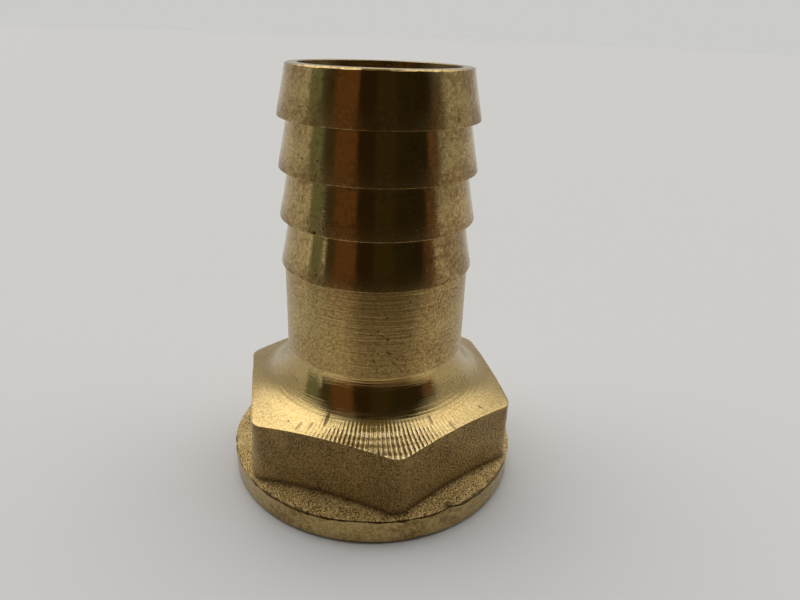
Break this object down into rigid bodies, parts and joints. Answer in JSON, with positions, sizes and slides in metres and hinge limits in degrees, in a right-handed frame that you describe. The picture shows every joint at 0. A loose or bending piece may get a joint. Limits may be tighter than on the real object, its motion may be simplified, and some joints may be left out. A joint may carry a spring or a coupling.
{
  "type": "hose barb tail",
  "caption": "Brass hose tail with a hexagon, a round collar, a female pipe thread below and a barbed spigot for a hose above.",
  "frame": {"origin": "centre of the collar's flat face, on the axis of the water way", "axes": "+Z along the axis, from the threaded mouth towards the hose end; +Y through a corner of the hexagon; +X square to a flat"},
  "size_m": [0.0344, 0.0344, 0.0472],
  "materials": {
    "brass": "turned bright on the spigot, shoulder and collar rim; shot-blasted forging skin on the flats and collar top"
  },
  "bodies": {
    "root": {"hose_tail": "brass"}
  },
  "joints": []
}
